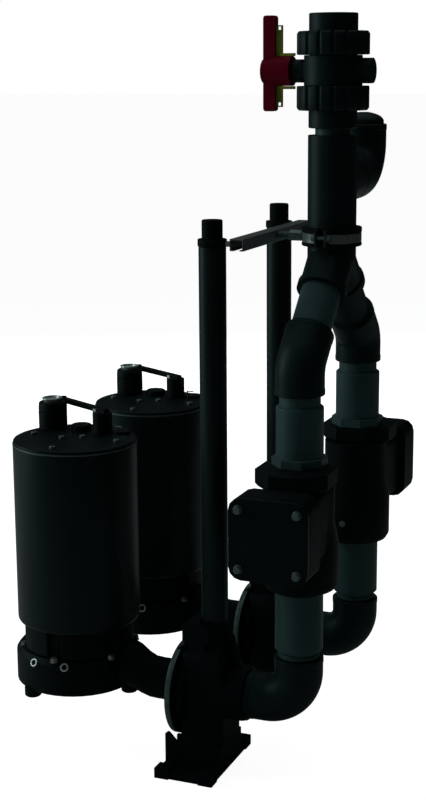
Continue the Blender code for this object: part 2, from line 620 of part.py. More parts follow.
def make_strut():
    """Slotted channel between the rail heads, pinned to both rails, and the clamp's rod."""
    x_low, x_high = STRUT_X
    z_low, z_high = STRUT_Z
    middle_x = (x_low + x_high) / 2.0
    slot_low = middle_x - STRUT_SLOT / 2.0
    slot_high = middle_x + STRUT_SLOT / 2.0
    floor_z = z_low + STRUT_WALL
    section = [(slot_high, z_low), (x_high, z_low), (x_high, z_high), (x_low, z_high), (x_low, z_low),
               (slot_low, z_low), (slot_low, floor_z), (x_low + STRUT_WALL, floor_z),
               (x_low + STRUT_WALL, z_high - STRUT_WALL), (x_high - STRUT_WALL, z_high - STRUT_WALL),
               (x_high - STRUT_WALL, floor_z), (slot_high, floor_z)]
    strut = add_part("strut_channel", "zinc_steel", prism_along_y(section, STRUT_Y), (0.0, 0.0, 0.0))
    for y in TRAIN_Y.values():
        pin = turned_along_x([(STRUT_PIN_R, RAIL_COLLAR_R + GAP),
                              (STRUT_PIN_R, x_low + STRUT_WALL / 2.0)], 12)
        pin.transform(Matrix.Translation((0.0, y, STRUT_AXIS_Z)))
        combine(strut, pin)
    nut_x = RISER_X - CLAMP_R - ROD_NUT_LENGTH
    add_part("clamp_rod", "zinc_steel",
             turned_along_x([(ROD_R, x_high + GAP), (ROD_R, nut_x), (ROD_NUT_R, nut_x),
                             (ROD_NUT_R, RISER_X - CLAMP_R - GAP)], 12),
             (0.0, MIDDLE_Y, STRUT_AXIS_Z))


def clamp_arc(radius, start, steps=14):
    """Points round the +X side, from near -Y to near +Y, whose chords stay outside the radius."""
    sweep = math.pi - 2.0 * start
    outside = radius / math.cos(sweep / steps / 2.0)
    angles = [start - math.pi / 2.0 + sweep * i / steps for i in range(steps + 1)]
    return [(outside * math.cos(angle), outside * math.sin(angle)) for angle in angles]


def make_clamp():
    """Two clamp halves round the Y fitting's barrel, each with an ear on either side."""
    inner = SOCKET_R + GAP
    for name, side in (("clamp_half_rail_side", -1.0), ("clamp_half_far_side", 1.0)):
        ear_low = CLAMP_EAR_OFFSET
        ear_high = CLAMP_EAR_OFFSET + CLAMP_EAR_THICKNESS
        outer_start = math.asin(ear_high / CLAMP_R)
        inner_start = math.asin(ear_low / inner)
        outline = [(ear_low, -CLAMP_EAR_R), (ear_high, -CLAMP_EAR_R)]
        outline += clamp_arc(CLAMP_R, outer_start)
        outline += [(ear_high, CLAMP_EAR_R), (ear_low, CLAMP_EAR_R)]
        outline += reversed(clamp_arc(inner, inner_start))
        outline = [(x * side, y) for x, y in outline]
        add_part(name, "zinc_steel", prism(outline, CLAMP_Z), (RISER_X, MIDDLE_Y, 0.0))


def make_ball_valve():
    """Union ball valve on the common riser."""
    at_valve = (RISER_X, MIDDLE_Y, 0.0)
    add_part("valve_nipple", "light_plastic",
             turned([(VALVE_NIPPLE_R, TEE_TOP_Z + GAP), (VALVE_NIPPLE_R, VALVE_END_Z[0] - GAP)]), at_valve)
    add_part("valve_lower_end", "grey_plastic",
             turned([(VALVE_END_R, VALVE_END_Z[0]), (VALVE_END_R, VALVE_END_Z[1] - GAP)]), at_valve)
    inner = VALVE_END_R + GAP
    low, high = VALVE_NUT_LOW_Z
    add_part("valve_lower_nut", "grey_plastic",
             turned([(VALVE_NUT_R - NUT_CHAMFER[0], low), (VALVE_NUT_R, low + NUT_CHAMFER[1]),
                     (VALVE_NUT_R, high - GAP), (inner, high - GAP), (inner, low)], closed=True), at_valve)
    body_high = VALVE_NUT_HIGH_Z[0] - GAP
    body = add_part("valve_body", "grey_plastic",
                    turned([(VALVE_BODY_R, VALVE_END_Z[1]), (VALVE_BODY_R, body_high)]), at_valve)
    bosses = turned_along_x([(0.010, HUB_X[1] + GAP), (0.010, -STEM_REACH), (STEM_R, -STEM_REACH),
                             (STEM_R, 0.0), (REAR_BOSS_R, 0.0), (REAR_BOSS_R, REAR_BOSS_REACH)], 24)
    bosses.transform(Matrix.Translation((0.0, 0.0, VALVE_AXIS_Z)))
    combine(body, bosses)
    low, high = VALVE_NUT_HIGH_Z
    add_part("valve_upper_nut", "grey_plastic",
             turned([(VALVE_NUT_R, low), (VALVE_NUT_R, high - NUT_CHAMFER[1]),
                     (VALVE_NUT_R - NUT_CHAMFER[0], high), (inner, high), (inner, low)],
                    closed=True), at_valve)
    add_part("valve_upper_end", "grey_plastic",
             turned([(VALVE_END_R, low), (VALVE_END_R, VALVE_TOP_Z), (PIPE_R, VALVE_TOP_Z),
                     (PIPE_R, VALVE_TOP_Z - VALVE_SOCKET_DEPTH)]), at_valve)


def make_valve_handle():
    """Lever on the ball valve's stem, with the insert behind its bar."""
    hinge = make_empty("valve_handle_hinge", (RISER_X, MIDDLE_Y, VALVE_AXIS_Z))
    at_hinge = tuple(hinge.location)
    bar = rounded_rectangle(HANDLE_X, (HANDLE_Z[0] - VALVE_AXIS_Z, HANDLE_Z[1] - VALVE_AXIS_Z), 0.004, 2)
    handle = add_part("valve_handle", "red_plastic",
                      prism_along_y(bar, (-HANDLE_WIDTH / 2.0, HANDLE_WIDTH / 2.0)), at_hinge, hinge)
    combine(handle, turned_along_x([(MEDALLION_R - 0.001, MEDALLION_X), (MEDALLION_R, MEDALLION_X + 0.001),
                                    (MEDALLION_R, HUB_X[0]), (HUB_R, HUB_X[0] + 0.001),
                                    (HUB_R, HUB_X[1])], 24))
    slot_half = INSERT_THICKNESS / 2.0 + GAP
    combine(handle, box((INSERT_X[0] - GAP, INSERT_X[1] + GAP), (-slot_half, slot_half), (-0.030, 0.030)),
            "DIFFERENCE")
    low = INSERT_Z[0] - VALVE_AXIS_Z
    high = INSERT_Z[1] - VALVE_AXIS_Z
    arm_low = HUB_R + 0.0006
    arm_high = arm_low + 0.004
    outline = [(INSERT_X[0], low), (INSERT_X[1], low), (INSERT_X[1], -arm_high - 0.001),
               (INSERT_ARM_X, -arm_high + 0.001), (INSERT_ARM_X, -arm_low), (INSERT_X[1], -arm_low),
               (INSERT_X[1], arm_low), (INSERT_ARM_X, arm_low), (INSERT_ARM_X, arm_high - 0.001),
               (INSERT_X[1], arm_high + 0.001), (INSERT_X[1], high), (INSERT_X[0], high)]
    add_part("handle_insert", "yellow_plastic",
             prism_along_y(outline, (-INSERT_THICKNESS / 2.0, INSERT_THICKNESS / 2.0)), at_hinge, hinge)


def build_station():
    clear_scene()
    for train in TRAIN_Y:
        make_foot(train)
        make_rail(train)
        make_riser(train)
        make_check_valve(train)
        make_pump(train)
    make_y_fitting()
    make_tee_and_flush_port()
    make_strut()
    make_clamp()
    make_ball_valve()
    make_valve_handle()


build_station()
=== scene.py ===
"""Looks of the duplex sewage pump station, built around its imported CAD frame. Units are metres."""
import math

import bmesh
import bpy
from mathutils import Matrix, Vector


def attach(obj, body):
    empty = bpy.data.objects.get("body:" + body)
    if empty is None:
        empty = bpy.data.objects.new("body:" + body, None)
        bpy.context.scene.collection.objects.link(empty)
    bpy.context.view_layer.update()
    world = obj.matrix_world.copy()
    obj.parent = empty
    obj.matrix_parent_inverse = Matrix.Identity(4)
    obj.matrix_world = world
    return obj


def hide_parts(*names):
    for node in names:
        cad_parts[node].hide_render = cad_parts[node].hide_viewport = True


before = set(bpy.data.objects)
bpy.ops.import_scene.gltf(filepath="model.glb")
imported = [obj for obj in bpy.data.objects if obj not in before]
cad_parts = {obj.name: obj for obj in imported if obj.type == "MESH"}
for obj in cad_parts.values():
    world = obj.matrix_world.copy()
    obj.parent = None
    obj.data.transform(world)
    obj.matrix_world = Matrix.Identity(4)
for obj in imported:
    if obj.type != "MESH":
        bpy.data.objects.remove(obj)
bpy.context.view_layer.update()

# Driving dimensions, the same as the CAD's
PUMP_X = -0.2453
RISER_X = 0.1428
TRAIN_SPACING = 0.300
MIDDLE_Y = TRAIN_SPACING / 2.0
TRAINS = (("front", 0.0, -1.0), ("rear", TRAIN_SPACING, 1.0))
SHELL_R = 0.1012
COVER_TOP_Z = 0.5282
PIPE_R = 0.0315
FITTING_R = 0.0379
STRUT_AXIS_Z = 0.8545
CLAMP_Z = (0.8412, 0.8703)
VALVE_AXIS_Z = 1.111

# Smoothness of round pieces
ROUND = 96
BROAD_ROUND = 144
SMALL_ROUND = 64
TINY_ROUND = 32
BOLT_STEPS = 24
ALONG_X = Matrix.Rotation(math.radians(90.0), 4, "Y")


# Materials
def node_of(tree, kind, **inputs):
    """Add a node and set its inputs by name."""
    node = tree.nodes.new(kind)
    for name, value in inputs.items():
        node.inputs[name.replace("_", " ")].default_value = value
    return node


def surface(name, dark, light, rough=(0.4, 0.5), metallic=0.0, specular=0.3, patches=18.0, grain=900.0,
            bump=0.08, relief=0.0004, stretch=(1.0, 1.0, 1.0), spangle=0.0, tint=(0.62, 1.0, 1.0)):
    """Procedural finish: colour and roughness vary in patches, fine grain gives the bump."""
    material = bpy.data.materials.new(name)
    material.use_nodes = True
    tree = material.node_tree
    link = tree.links.new
    shader = tree.nodes["Principled BSDF"]
    shader.inputs["Metallic"].default_value = metallic
    shader.inputs["Specular IOR Level"].default_value = specular
    if tint:
        shader.inputs["Specular Tint"].default_value = (*tint, 1.0)
    place = tree.nodes.new("ShaderNodeTexCoord")
    turn = node_of(tree, "ShaderNodeMapping", Scale=stretch)
    link(place.outputs["Object"], turn.inputs["Vector"])
    broad = node_of(tree, "ShaderNodeTexNoise", Scale=patches, Detail=5.0, Roughness=0.6)
    fine = node_of(tree, "ShaderNodeTexNoise", Scale=grain, Detail=3.0, Roughness=0.55)
    for noise in (broad, fine):
        link(turn.outputs["Vector"], noise.inputs["Vector"])
    ramp = tree.nodes.new("ShaderNodeValToRGB")
    for element, position, colour in zip(ramp.color_ramp.elements, (0.32, 0.68), (dark, light)):
        element.position = position
        element.color = (*colour, 1.0)
    source = broad.outputs["Fac"]
    if spangle:
        cells = node_of(tree, "ShaderNodeTexVoronoi", Scale=spangle)
        link(turn.outputs["Vector"], cells.inputs["Vector"])
        blend = node_of(tree, "ShaderNodeMix", Factor=0.5)
        link(broad.outputs["Fac"], blend.inputs["A"])
        link(cells.outputs["Color"], blend.inputs["B"])
        source = blend.outputs["Result"]
    link(source, ramp.inputs["Fac"])
    link(ramp.outputs["Color"], shader.inputs["Base Color"])
    gloss = node_of(tree, "ShaderNodeMapRange", To_Min=rough[0], To_Max=rough[1])
    link(broad.outputs["Fac"], gloss.inputs["Value"])
    link(gloss.outputs["Result"], shader.inputs["Roughness"])
    height = node_of(tree, "ShaderNodeBump", Strength=bump, Distance=relief)
    link(fine.outputs["Fac"], height.inputs["Height"])
    link(height.outputs["Normal"], shader.inputs["Normal"])
    return material


def shades(colour, spread=0.18):
    """Darker and lighter shade on either side of a colour."""
    return [c * (1.0 - spread) for c in colour], [c * (1.0 + spread) for c in colour]


FINISH = {
    "coated_steel": surface(
        "satin_coated_steel", *shades((0.0058, 0.0120, 0.0118)), rough=(0.36, 0.46), specular=0.20,
        patches=9.0, grain=700.0, bump=0.05),
    "cast_iron": surface(
        "coated_casting", *shades((0.0030, 0.0062, 0.0068), 0.3), rough=(0.50, 0.66), specular=0.12,
        patches=45.0, grain=420.0, bump=0.35, relief=0.0006),
    "cover_iron": surface(
        "smooth_coated_cover", *shades((0.0040, 0.0078, 0.0100)), rough=(0.40, 0.52), specular=0.14,
        patches=25.0, grain=800.0, bump=0.10),
    "grey_plastic": surface(
        "dark_moulded_plastic", *shades((0.0085, 0.0180, 0.0180)), rough=(0.40, 0.50), specular=0.15,
        patches=20.0, grain=1100.0, bump=0.05),
    "light_plastic": surface(
        "pale_moulded_plastic", *shades((0.0480, 0.0960, 0.0960), 0.10), rough=(0.40, 0.50), specular=0.20,
        patches=16.0, grain=1100.0, bump=0.04),
    # Darker copy of the pale plastic for the rear leg pipe: painted shade. The real pipe is the same pale
    # plastic, lying in shadow.
    "shade_painted_plastic": surface(
        "painted_shade_pipe_plastic", *shades((0.0120, 0.0250, 0.0250), 0.12), rough=(0.42, 0.52), specular=0.12,
        patches=16.0, grain=1100.0, bump=0.04),
    "rail_steel": surface(
        "drawn_tube", *shades((0.0110, 0.0200, 0.0200), 0.25), rough=(0.36, 0.50), metallic=0.30,
        specular=0.22, patches=60.0, grain=500.0, bump=0.10, stretch=(1.0, 1.0, 0.06)),
    "zinc_steel": surface(
        "zinc_plated_steel", *shades((0.30, 0.33, 0.325), 0.20), rough=(0.30, 0.44), metallic=0.9,
        specular=0.5, patches=70.0, grain=900.0, bump=0.08, spangle=240.0, tint=None),
    "bright_steel": surface(
        "bright_steel", *shades((0.62, 0.72, 0.70), 0.12), rough=(0.24, 0.36), metallic=0.70, specular=0.5,
        patches=120.0, grain=1500.0, bump=0.06, tint=None),
    "dull_steel": surface(
        "dull_steel", *shades((0.150, 0.225, 0.220), 0.2), rough=(0.34, 0.46), metallic=0.5, specular=0.4,
        patches=120.0, grain=1500.0, bump=0.08, tint=None),
    "clamp_steel": surface(
        "galvanised_band", *shades((0.24, 0.28, 0.275), 0.2), rough=(0.34, 0.46), metallic=0.7,
        specular=0.4, patches=80.0, grain=900.0, bump=0.10, spangle=300.0, tint=None),
    "ear_steel": surface(
        "dark_steel_ears", *shades((0.030, 0.046, 0.045), 0.2), rough=(0.36, 0.48), metallic=0.5,
        specular=0.3, patches=80.0, grain=900.0, bump=0.10, tint=None),
    "bead_steel": surface(
        "machined_edge", *shades((0.095, 0.150, 0.146), 0.2), rough=(0.34, 0.46), metallic=0.35,
        specular=0.35, patches=90.0, grain=1200.0, bump=0.08, tint=None),
    "rubber": surface(
        "moulded_rubber", *shades((0.0024, 0.0046, 0.0046), 0.2), rough=(0.62, 0.78), specular=0.10,
        patches=60.0, grain=1300.0, bump=0.12),
    "red_plastic": surface(
        "red_moulded_plastic", *shades((0.180, 0.0015, 0.018), 0.15), rough=(0.38, 0.48), specular=0.12,
        patches=50.0, grain=1200.0, bump=0.05, tint=(1.0, 0.30, 0.45)),
    "yellow_plastic": surface(
        "olive_moulded_plastic", *shades((0.40, 0.48, 0.066), 0.15), rough=(0.44, 0.54), specular=0.12,
        patches=60.0, grain=1200.0, bump=0.05, tint=(1.0, 1.0, 0.40)),
}


# Shapes
def circle(radius, count=ROUND):
    """Points round a circle, with no point on the X axis."""
    step = 2.0 * math.pi / count
    return [(radius * math.cos(step * (i + 0.5)), radius * math.sin(step * (i + 0.5)))
            for i in range(count)]


def skin(rings, closed=False):
    """Body through a row of rings, with end faces unless the row closes on itself."""
    shape = bmesh.new()
    rows = [[shape.verts.new(point) for point in ring] for ring in rings]
    count = len(rows[0])
    pairs = list(zip(rows, rows[1:]))
    if closed:
        pairs.append((rows[-1], rows[0]))
    for lower, upper in pairs:
        for i in range(count):
            j = (i + 1) % count
            shape.faces.new((lower[i], lower[j], upper[j], upper[i]))
    if not closed:
        shape.faces.new(list(reversed(rows[0])))
        shape.faces.new(rows[-1])
    return shape


def turned(profile, count=ROUND, closed=False):
    """Body turned about Z; the profile lists (radius, height) along its outer side."""
    return skin([[(x, y, z) for x, y in circle(radius, count)] for radius, z in profile], closed)


def sector(profile, first, last, steps=28):
    """Part of a ring: a closed (radius, z) outline carried round Z between two angles in degrees."""
    rings = []
    for i in range(steps + 1):
        angle = math.radians(first + (last - first) * i / steps)
        rings.append([(r * math.cos(angle), r * math.sin(angle), z) for r, z in profile])
    return skin(rings)


def block(x, y, z):
    """Box between (low, high) pairs."""
    outline = [(x[1], y[1]), (x[0], y[1]), (x[0], y[0]), (x[1], y[0])]
    return skin([[(px, py, height) for px, py in outline] for height in z])


def joined(*shapes):
    """One bmesh that holds all the shapes."""
    whole = shapes[0]
    for shape in shapes[1:]:
        mesh = bpy.data.meshes.new("part")
        shape.to_mesh(mesh)
        shape.free()
        whole.from_mesh(mesh)
        bpy.data.meshes.remove(mesh)
    return whole


def moved(shape, *matrices):
    """Apply the matrices to the shape, one after another."""
    for matrix in matrices:
        shape.transform(matrix)
    return shape


def at(x, y, z):
    return Matrix.Translation((x, y, z))


def towards(direction):
    """Turn +Z towards a direction."""
    return Vector((0.0, 0.0, 1.0)).rotation_difference(Vector(direction)).to_matrix().to_4x4()


def arc(centre, start, turn_to, angle, steps):
    """Points from start round the centre, turning by the angle in degrees towards turn_to."""
    centre = Vector(centre)
    first = Vector(start) - centre
    second = Vector(turn_to).normalized() * first.length
    points = []
    for i in range(steps + 1):
        turn = math.radians(angle) * i / steps
        points.append(centre + first * math.cos(turn) + second * math.sin(turn))
    return points


def swept(path, side, radii, count=ROUND):
    """Round bar along a plane path, with one radius for each point."""
    path = [Vector(point) for point in path]
    side = Vector(side).normalized()
    rings = []
    for i, point in enumerate(path):
        way = (path[min(i + 1, len(path) - 1)] - path[max(i - 1, 0)]).normalized()
        across = side.cross(way).normalized()
        rings.append([point + side * x + across * y for x, y in circle(radii[i], count)])
    return skin(rings)


def lipped(path, side, radius, lip=0.0006, width=0.009, chamfer=0.0012, step=0.0008):
    """Sweep with a slightly raised band and a small chamfer at each end."""
    path = [Vector(point) for point in path]
    start = (path[1] - path[0]).normalized()
    end = (path[-1] - path[-2]).normalized()
    head = [(path[0], radius - chamfer), (path[0] + start * chamfer, radius),
            (path[0] + start * width, radius), (path[0] + start * (width + step), radius - lip)]
    tail = [(path[-1] - end * (width + step), radius - lip), (path[-1] - end * width, radius),
            (path[-1] - end * chamfer, radius), (path[-1], radius - chamfer)]
    points = head + [(point, radius - lip) for point in path[1:-1]] + tail
    return swept([point for point, _ in points], side, [r for _, r in points])


def soften(item, width, segments=2):
    """Round the sharp edges with a Bevel modifier."""
    edge = item.modifiers.new("rounded_edges", "BEVEL")
    edge.width = width
    edge.segments = segments
    edge.limit_method = "ANGLE"
    edge.angle_limit = math.radians(34.0)
    edge.harden_normals = True


def piece(name, finish, shape, body="station", replaces=(), bevel=0.0, angle=32.0, segments=2):
    """Make an object of the shape, in place in the row frame, and let it ride on its body."""
    bmesh.ops.recalc_face_normals(shape, faces=shape.faces)
    mesh = bpy.data.meshes.new(name)
    shape.to_mesh(mesh)
    shape.free()
    mesh.shade_smooth()
    mesh.set_sharp_from_angle(angle=math.radians(angle))
    item = bpy.data.objects.new(name, mesh)
    bpy.context.scene.collection.objects.link(item)
    mesh.materials.append(FINISH[finish])
    if bevel:
        soften(item, bevel, segments)
    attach(item, body)
    if replaces:
        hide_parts(*replaces)


def smoothing():
    """Geometry nodes that weld a CAD mesh's split corners and shade it smooth, sharp above an angle."""
    group = bpy.data.node_groups.new("weld_and_smooth", "GeometryNodeTree")
    group.interface.new_socket("Geometry", in_out="INPUT", socket_type="NodeSocketGeometry")
    group.interface.new_socket("Geometry", in_out="OUTPUT", socket_type="NodeSocketGeometry")
    first = group.nodes.new("NodeGroupInput")
    last = group.nodes.new("NodeGroupOutput")
    merge = node_of(group, "GeometryNodeMergeByDistance", Distance=0.00001)
    drop = node_of(group, "GeometryNodeRemoveAttribute", Name="custom_normal")
    smooth = group.nodes.new("GeometryNodeSetShadeSmooth")
    crisp = node_of(group, "GeometryNodeSetShadeSmooth", Shade_Smooth=False)
    crisp.domain = "EDGE"
    angle = group.nodes.new("GeometryNodeInputMeshEdgeAngle")
    test = group.nodes.new("FunctionNodeCompare")
    test.data_type = "FLOAT"
    test.operation = "GREATER_THAN"
    test.inputs["B"].default_value = math.radians(32.0)
    link = group.links.new
    for before, after in ((first, merge), (merge, drop), (drop, smooth), (smooth, crisp), (crisp, last)):
        link(before.outputs["Geometry"], after.inputs["Geometry"])
    link(angle.outputs["Unsigned Angle"], test.inputs["A"])
    link(test.outputs["Result"], crisp.inputs["Selection"])
    return group


SMOOTHING = smoothing()


def dress(node, finish, width=0.0010):
    """Give a CAD node its finish and rounded edges, with modifiers alone."""
    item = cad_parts[node]
    item.material_slots[0].material = FINISH[finish]
    weld = item.modifiers.new("weld", "WELD")
    weld.merge_threshold = 0.00001
    flat = item.modifiers.new("flat_faces", "DECIMATE")
    flat.decimate_type = "DISSOLVE"
    flat.angle_limit = math.radians(0.6)
    shade = item.modifiers.new("smooth", "NODES")
    shade.node_group = SMOOTHING
    soften(item, width)


# Small fasteners
def hexagon(flats, angle):
    """Distance from the middle of a hexagon to its side, in a direction."""
    return flats / 2.0 / math.cos((angle + math.pi / 6.0) % (math.pi / 3.0) - math.pi / 6.0)


def hex_bolt(flats, height, washer=0.0, turn=0.0):
    """Hexagon head with a chamfered top on a washer, its base at the origin."""
    base = 0.0012 if washer else 0.0
    chamfer = 0.0010
    rings = []
    for z, is_top in ((base, False), (base + height - chamfer, False), (base + height, True)):
        ring = []
        for i in range(BOLT_STEPS):
            a = 2.0 * math.pi * i / BOLT_STEPS
            r = flats * 0.49 if is_top else hexagon(flats, a)
            ring.append((r * math.cos(a + turn), r * math.sin(a + turn), z))
        rings.append(ring)
    head = skin(rings)
    if not washer:
        return head
    return joined(head, turned([(washer, 0.0), (washer, base * 0.8), (washer - 0.0003, base)], TINY_ROUND))


def socket_screw(radius, height):
    """Cap screw with a hexagon socket."""
    edge = 0.0006
    rings = []
    for r, z, is_socket in ((radius, 0.0, False), (radius, height - edge, False),
                            (radius - edge, height, False), (radius * 0.55, height, True),
                            (radius * 0.50, height * 0.35, True)):
        ring = []
        for i in range(BOLT_STEPS):
            a = 2.0 * math.pi * (i + 0.5) / BOLT_STEPS
            reach = hexagon(2.0 * r * math.cos(math.pi / 6.0), a) if is_socket else r
            ring.append((reach * math.cos(a), reach * math.sin(a), z))
        rings.append(ring)
    return skin(rings)


# Pumps
COVER_SCREWS = ((0.0755, 0.0), (-0.0755, 0.0), (0.0, -0.0775), (0.0, 0.0800), (-0.0185, -0.0099),
                (0.0111, 0.0064), (-0.0303, 0.0736))
COVER_BOSSES = ((-0.015, 0.054, 0.017, 0.010), (0.0560, 0.0615, 0.0150, 0.004))
GLAND_AT = (-0.066, 0.050)
GLAND_R = 0.0237
STRAP_END_AT = (0.0185, 0.044, 0.5636)
FLANGE_BOLTS = 6
FLANGE_BOLT_CIRCLE_R = 0.0930
FLANGE_TOP_Z = 0.1745
CASING_R = 0.1008
CASING_MIDDLE = (-0.008, 0.006)
CASING_PLUG_Z = 0.1668
CASING_PLUG_DEGREES = (-107.0, -75.0)
COUPLING_AXIS_Z = 0.1285


def motor_shell(train, body, here):
    """Motor casing with a rolled lower edge, and the bright bead between it and the cover."""
    shell = turned([(SHELL_R - 0.0067, 0.2223), (SHELL_R - 0.0040, 0.2236), (SHELL_R - 0.0017, 0.2255),
                    (SHELL_R - 0.0004, 0.2280), (SHELL_R, 0.2310), (SHELL_R, 0.5196),
                    (SHELL_R - 0.0008, 0.5206)], BROAD_ROUND)
    piece(f"{train}_shell_skin", "coated_steel", moved(shell, here), body, [f"{train}_motor_shell"])
    bead = turned([(SHELL_R - 0.0007, 0.5210), (SHELL_R, 0.5214), (SHELL_R + 0.0003, 0.5224),
                   (SHELL_R, 0.5235), (SHELL_R - 0.0007, 0.5239)], BROAD_ROUND, closed=True)
    piece(f"{train}_cover_bead", "bead_steel", moved(bead, here), body)


def motor_cover(train, body, here):
    """Cover disc with a fine groove, its bosses and its cap screws."""
    groove_r = 0.0872
    disc = turned([(SHELL_R - 0.0012, 0.5208), (SHELL_R - 0.0002, 0.5213), (SHELL_R, 0.5224),
                   (SHELL_R - 0.0002, 0.5238), (SHELL_R - 0.0010, 0.5243), (SHELL_R - 0.0012, 0.5244),
                   (SHELL_R - 0.0012, COVER_TOP_Z - 0.0012), (SHELL_R - 0.0016, COVER_TOP_Z - 0.0004),
                   (SHELL_R - 0.0024, COVER_TOP_Z), (groove_r + 0.0008, COVER_TOP_Z),
                   (groove_r, COVER_TOP_Z - 0.0007), (groove_r - 0.0008, COVER_TOP_Z)], BROAD_ROUND)
    bosses = [moved(turned([(radius, COVER_TOP_Z - 0.002), (radius, COVER_TOP_Z + height - 0.0014),
                            (radius - 0.0014, COVER_TOP_Z + height)], SMALL_ROUND), at(x, y, 0.0))
              for x, y, radius, height in COVER_BOSSES]
    piece(f"{train}_cover_skin", "cover_iron", moved(joined(disc, *bosses), here), body,
          [f"{train}_motor_cover"])
    for i, (x, y) in enumerate(COVER_SCREWS):
        screw = moved(socket_screw(0.0048, 0.0040), at(x, y, COVER_TOP_Z - 0.0001), here)
        piece(f"{train}_cover_screw_{i}", "dull_steel", screw, body)


def cover_fittings(train, body, here):
    """Small bent clip in front of a boss, and the bolt on the end of the handle's strap."""
    clip_x, clip_y, clip_top_z, thick = 0.0510, (0.0440, 0.0460), 0.5423, 0.0018
    clip = joined(block((clip_x, clip_x + thick), clip_y, (COVER_TOP_Z, clip_top_z)),
                  block((clip_x, clip_x + 0.0132), clip_y, (clip_top_z - thick, clip_top_z)))
    piece(f"{train}_cover_clip", "bright_steel", moved(clip, here), body, bevel=0.0004)
    bolt = moved(hex_bolt(0.0100, 0.0045, 0.0062, 0.2), at(*STRAP_END_AT), here)
    piece(f"{train}_post_bolt", "zinc_steel", bolt, body)


def cable_gland(train, body, here):
    """Gland body with two turned grooves, and its bright open cap."""
    place = at(*GLAND_AT, 0.0)
    gland = turned([(GLAND_R - 0.0008, COVER_TOP_Z), (GLAND_R, COVER_TOP_Z + 0.0010), (GLAND_R, 0.5330),
                    (GLAND_R - 0.0012, 0.5336), (GLAND_R - 0.0012, 0.5350), (GLAND_R, 0.5356),
                    (GLAND_R, 0.5590), (GLAND_R - 0.0012, 0.5596), (GLAND_R - 0.0012, 0.5606),
                    (GLAND_R, 0.5612), (GLAND_R - 0.0006, 0.5715), (GLAND_R - 0.0016, 0.5732),
                    (GLAND_R - 0.0032, 0.5740)], SMALL_ROUND)
    piece(f"{train}_gland_body", "cast_iron", moved(gland, place, here), body, [f"{train}_cable_gland"])
    cap = turned([(0.0146, 0.5736), (0.0152, 0.5742), (0.0160, 0.5770), (0.0172, 0.5798),
                  (0.0170, 0.5806), (0.0160, 0.5810), (0.0118, 0.5809), (0.0108, 0.5780)], SMALL_ROUND)
    piece(f"{train}_gland_cap", "bright_steel", moved(cap, place, here), body)


def casing_fasteners(train, body, here):
    """Bolts round the casing flange, and two ring-shaped plugs in the casing's side."""
    for i in range(FLANGE_BOLTS):
        a = math.radians(360.0 / FLANGE_BOLTS * i - 90.0)
        place = at(FLANGE_BOLT_CIRCLE_R * math.cos(a), FLANGE_BOLT_CIRCLE_R * math.sin(a), FLANGE_TOP_Z)
        bolt = moved(hex_bolt(0.0105, 0.0060, 0.0066, a), place, here)
        piece(f"{train}_flange_bolt_{i}", "zinc_steel", bolt, body)
    for i, degrees in enumerate(CASING_PLUG_DEGREES):
        a = math.radians(degrees)
        ring = turned([(0.0070, 0.0), (0.0070, 0.0016), (0.0062, 0.0026), (0.0050, 0.0026),
                       (0.0042, 0.0016), (0.0042, -0.0010), (0.0070, -0.0010)], TINY_ROUND, closed=True)
        tilt = towards((math.cos(a), math.sin(a), 0.55))
        place = at(CASING_MIDDLE[0] + CASING_R * math.cos(a), CASING_MIDDLE[1] + CASING_R * math.sin(a),
                   CASING_PLUG_Z)
        piece(f"{train}_casing_plug_{i}", "bright_steel", moved(ring, tilt, place, here), body)


def coupling_rim(train, body, y0):
    """Machined rim of the claw's coupling flange."""
    rim = turned([(0.0762, -0.0574), (0.0771, -0.0571), (0.0774, -0.0560), (0.0774, -0.0494),
                  (0.0771, -0.0483), (0.0762, -0.0480)], BROAD_ROUND, closed=True)
    piece(f"{train}_flange_rim", "bead_steel", moved(rim, ALONG_X, at(0.0, y0, COUPLING_AXIS_Z)), body)


def pump(train, y0):
    body = f"{train}_pump"
    here = at(PUMP_X, y0, 0.0)
    motor_shell(train, body, here)
    motor_cover(train, body, here)
    cover_fittings(train, body, here)
    cable_gland(train, body, here)
    casing_fasteners(train, body, here)
    coupling_rim(train, body, y0)
    dress(f"{train}_pump_bracket", "cast_iron", 0.0014)
    dress(f"{train}_volute", "cast_iron", 0.0020)
    dress(f"{train}_lifting_handle", "cast_iron", 0.0010)
    dress(f"{train}_claw", "cast_iron", 0.0012)


# Feet, rails and risers
RIB_OUTLINE = ((0.0150, 0.172), (0.0470, 0.172), (0.0400, 0.196), (0.0330, 0.223), (0.0222, 0.246),
               (0.0150, 0.246))
RIB_HALF_THICKNESS = 0.005
RAIL_R = 0.0213
RAIL_Z = (0.2500, 0.8500)
ELBOW_R = 0.0392
VALVE_BOLT_OFFSET = 0.0459
VALVE_COVER_MIDDLE_Z = 0.4354
VALVE_COVER_REACH = 0.1450
KNEE_Z = 0.6740
BEND_R = 0.041


